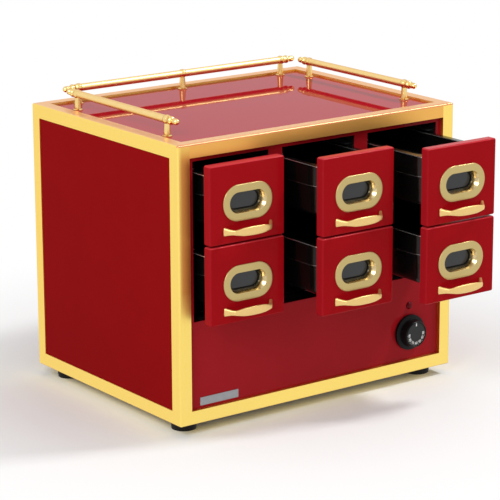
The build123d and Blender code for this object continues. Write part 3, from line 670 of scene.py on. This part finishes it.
# %% [markdown]
# ## Dial
# The knob has a printed film on its face, with a white pointer line, a scale of small lines and
# plain numbers for the temperature. A picture could hold them all, but real marks stay sharp at
# any distance. Text is turned to a mesh, stood up on the knob's face and moved into its vertices,
# so that it turns with the knob.
# %% Film on the knob
FILM_RADIUS, FILM_BACK = 18.0 * MM, 0.95 * MM  # its size, and its place behind the knob's front
knob_low, knob_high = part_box("thermostat_knob")
knob_x, knob_z = (knob_low[0] + knob_high[0]) / 2, (knob_low[2] + knob_high[2]) / 2
dial_y = knob_low[1] + FILM_BACK
around = np.linspace(0, 2 * math.pi, 64, endpoint=False)
rings = np.array([0.0, 0.5, 0.98, 1.0, 1.0])[:, None] * FILM_RADIUS
film_points = np.stack(
    [
        knob_x + rings * np.cos(around),
        dial_y + np.array([0, 0, 0, 0.02, 0.1])[:, None] * MM + 0 * around,
        knob_z + rings * np.sin(around),
    ],
    2,
)
grid_piece("dial_face", film_points[::-1], "control_knob", "dial_grey")
print("film of", round(2 * FILM_RADIUS / MM), "mm across")

# %% Numbers
NUMBERS = [30, 40, 50, 60, 70, 80, 90]
NUMBER_SIZE, NUMBER_RADIUS = 5.2 * MM, 13.7 * MM
stand_up = Matrix.Rotation(math.pi / 2, 4, "X")


def knob_mark(name, mesh, place):
    """A printed mark: the mesh is moved to its place on the film, a hair in front of it."""
    mesh.transform(place)
    mesh.materials.clear()
    mesh.materials.append(white_print)
    piece = bpy.data.objects.new(name, mesh)
    bpy.context.scene.collection.objects.link(piece)
    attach(piece, "control_knob")


def text_mesh(words, size):
    """The outline letters of the built-in font, filled and given a slight thickness."""
    curve = bpy.data.curves.new("letters", "FONT")
    curve.body, curve.size = words, size
    curve.extrude, curve.offset = 0.05 * MM, 0.08 * MM
    curve.align_x, curve.align_y = "CENTER", "CENTER"
    holder = bpy.data.objects.new("letters", curve)
    bpy.context.scene.collection.objects.link(holder)
    depsgraph = bpy.context.evaluated_depsgraph_get()
    mesh = bpy.data.meshes.new_from_object(holder.evaluated_get(depsgraph))
    bpy.data.objects.remove(holder)
    return mesh


for k, number in enumerate(NUMBERS):
    angle = -math.pi * k / (len(NUMBERS) - 1)
    x = knob_x + NUMBER_RADIUS * math.cos(angle)
    z = knob_z + NUMBER_RADIUS * math.sin(angle)
    upright = stand_up @ Matrix.Rotation(angle + math.pi / 2, 4, "Z")
    place = Matrix.Translation((x, dial_y, z)) @ upright
    knob_mark(f"dial_number_{number}", text_mesh(str(number), NUMBER_SIZE), place)
print("numbers:", NUMBERS)

# %% Pointer and scale lines
box_faces = [(0, 1, 3, 2), (4, 6, 7, 5), (0, 4, 5, 1), (2, 3, 7, 6), (0, 2, 6, 4), (1, 5, 7, 3)]
POINTER_RADIUS = 15.0 * MM  # from the middle of the dial to the middle of the pointer
w, t, h = 0.9 * MM, 0.1 * MM, 2.3 * MM  # half width, half thickness and half length
pointer = bpy.data.meshes.new("dial_pointer")
pointer.from_pydata([(x, y, z) for x in (-w, w) for y in (-t, t) for z in (-h, h)], [], box_faces)
knob_mark("dial_pointer", pointer, Matrix.Translation((knob_x, dial_y, knob_z + POINTER_RADIUS)))

# One line at each number and halfway: a thin box along the radius, between two circles.
angle = -np.linspace(0, math.pi, 2 * len(NUMBERS) - 1)
out = np.stack([np.cos(angle), 0 * angle, np.sin(angle)], 1)[:, None]
side = np.stack([-np.sin(angle), 0 * angle, np.cos(angle)], 1)[:, None]
corner = np.array([(a, b) for a in (-0.3, 0.3) for b in (16.3, 17.7)]) * MM
top = side * corner[None, :, :1] + out * corner[None, :, 1:]
top = top + (knob_x, dial_y - 0.06 * MM, knob_z)
points = np.stack([top, top + (0, 0.12 * MM, 0)], 1).reshape(-1, 3)
first_corner = 8 * np.arange(len(angle))[:, None, None]  # a box has eight corners
lines = bpy.data.meshes.new("dial_ticks")
lines.from_pydata(points, [], (first_corner + np.array(box_faces)).reshape(-1, 4).tolist())
knob_mark("dial_ticks", lines, Matrix.Identity(4))
print("dial marks: a pointer and", len(angle), "lines")

# %% [markdown]
# ## World and floor
# The object stands on a pale floor in a white room. The world is plain white where it is seen or
# mirrored, and dimmer where it lights the surfaces, so colours render about as they are written.
# The floor could end at a horizon. Instead it fades to the same white far from the object, and it
# keeps the object's shadow near by.
# %% World
WORLD_LIGHT = 0.5
world = bpy.data.worlds.new("studio")
bpy.context.scene.world = world
world.use_nodes = True
sky = world.node_tree
sky.nodes.clear()
paths = add_node(sky, "ShaderNodeLightPath").outputs
seen = add_node(
    sky, "ShaderNodeMath", links={0: paths["Is Camera Ray"], 1: paths["Is Glossy Ray"]},
    operation="MAXIMUM",
)
seen = add_node(
    sky, "ShaderNodeMath", links={0: seen.outputs[0], 1: paths["Is Transmission Ray"]},
    operation="MAXIMUM",
)
lighting, white = [
    add_node(sky, "ShaderNodeBackground", {"Color": linear("#FFFFFF"), "Strength": strength})
    for strength in (WORLD_LIGHT, 1.0)
]
mixed = add_node(
    sky, "ShaderNodeMixShader",
    links={0: seen.outputs[0], 1: lighting.outputs[0], 2: white.outputs[0]},
)
add_node(sky, "ShaderNodeOutputWorld", links={"Surface": mixed.outputs[0]})
print("world lights at", WORLD_LIGHT, "and shows at 1")

# %% Floor
FLOOR_HALF = 12  # metres
FADE_START, FADE_END = 0.32, 0.85  # metres from the middle of the object
# Seamless studio paper, matt: plain white that takes a soft shadow.
floor_material, tree, output = new_material("pale_paper_floor")
place = add_node(tree, "ShaderNodeTexCoord")
distance = add_node(
    tree, "ShaderNodeVectorMath", links={0: place.outputs["Object"]}, operation="LENGTH"
)
fade = add_node(
    tree, "ShaderNodeMapRange", {"From Min": FADE_START, "From Max": FADE_END},
    {"Value": distance.outputs["Value"]}, interpolation_type="SMOOTHSTEP",
)
glossy = add_node(tree, "ShaderNodeLightPath").outputs["Is Glossy Ray"]
shown_white = add_node(
    tree, "ShaderNodeMath", links={0: fade.outputs["Result"], 1: glossy}, operation="MAXIMUM"
)
paper = add_node(tree, "ShaderNodeBsdfDiffuse", {"Color": linear("#FAFAFA")})
glow = add_node(tree, "ShaderNodeEmission", {"Color": linear("#FFFFFF"), "Strength": 1.0})
blend = add_node(
    tree, "ShaderNodeMixShader",
    links={0: shown_white.outputs[0], 1: paper.outputs[0], 2: glow.outputs[0]},
)
tree.links.new(blend.outputs[0], output.inputs["Surface"])
floor_mesh = bpy.data.meshes.new("floor")
signs = [(-1, -1), (1, -1), (1, 1), (-1, 1)]
corners = [(a * FLOOR_HALF, b * FLOOR_HALF, 0) for a, b in signs]
floor_mesh.from_pydata(corners, [], [(0, 1, 2, 3)])
floor_mesh.materials.append(floor_material)
floor = bpy.data.objects.new("floor", floor_mesh)
bpy.context.scene.collection.objects.link(floor)
floor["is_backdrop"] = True
print("floor of", 2 * FLOOR_HALF, "m")

# %% [markdown]
# ## Lamps
# Two softboxes add a direction to the even light of the room: a wide one at the left, and a
# small one high at the right for smaller and brighter reflections. Both are area lamps, because
# a point lamp would cut hard shadows.
# %% Two soft lamps


def soft_lamp(name, place, size, watts, aim=(0, 0.06, 0.22)):
    """A square soft lamp that looks at the object: its -Z axis points along aim - place."""
    light = bpy.data.lights.new(name, "AREA")
    light.size, light.energy = size, watts
    lamp = bpy.data.objects.new(name, light)
    bpy.context.scene.collection.objects.link(lamp)
    lamp.location = place
    lamp.rotation_euler = (Vector(aim) - Vector(place)).to_track_quat("-Z", "Y").to_euler()


soft_lamp("key_left", (-2.3, -1.0, 1.9), size=1.4, watts=38.0)
soft_lamp("top_right", (1.7, -0.85, 2.5), size=0.42, watts=40.0)

# %% [markdown]
# ## Camera
# The camera stands where the photograph was taken from. It could be placed by eye, but its place
# and angles were fitted to the corners of the frame, so that the render can be laid over the
# photograph. Its three axes are written as vectors, because that leaves no doubt about the order
# of the turns.
# %% Camera of the photograph
SENSOR_MM, FOCAL_PIXELS, IMAGE_PIXELS = 36.0, 2359.7, 500
CAMERA_PLACE = (-2.0422, -2.7168, 1.1121)  # metres
azimuth, elevation, roll = [math.radians(v) for v in (-36.458, 14.88, -0.21)]
camera_data = bpy.data.cameras.new("photo_view")
camera_data.sensor_width = SENSOR_MM
camera_data.lens = FOCAL_PIXELS / IMAGE_PIXELS * SENSOR_MM
camera_data.clip_end = 60.0
camera = bpy.data.objects.new("photo_view", camera_data)
bpy.context.scene.collection.objects.link(camera)
back = Vector(
    (
        math.sin(azimuth) * math.cos(elevation),
        -math.cos(azimuth) * math.cos(elevation),
        math.sin(elevation),
    )
)
right = (-back).cross(Vector((0, 0, 1))).normalized()
up = right.cross(-back)
right, up = (
    math.cos(roll) * right + math.sin(roll) * up,
    -math.sin(roll) * right + math.cos(roll) * up,
)
turn = Matrix((right, up, back)).transposed().to_4x4()
camera.matrix_world = Matrix.Translation(CAMERA_PLACE) @ turn
bpy.context.scene.camera = camera
bpy.context.scene.view_settings.view_transform = "Standard"
print("camera", [round(v, 3) for v in camera.matrix_world.translation])

# %% [markdown]
# ## Size and finish
# The box of the dressed model is measured and its size is printed: dressing must not make the
# object larger.
# %% Size and finish
low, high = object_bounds()
print("size", [round(b - a, 4) for a, b in zip(low, high)])
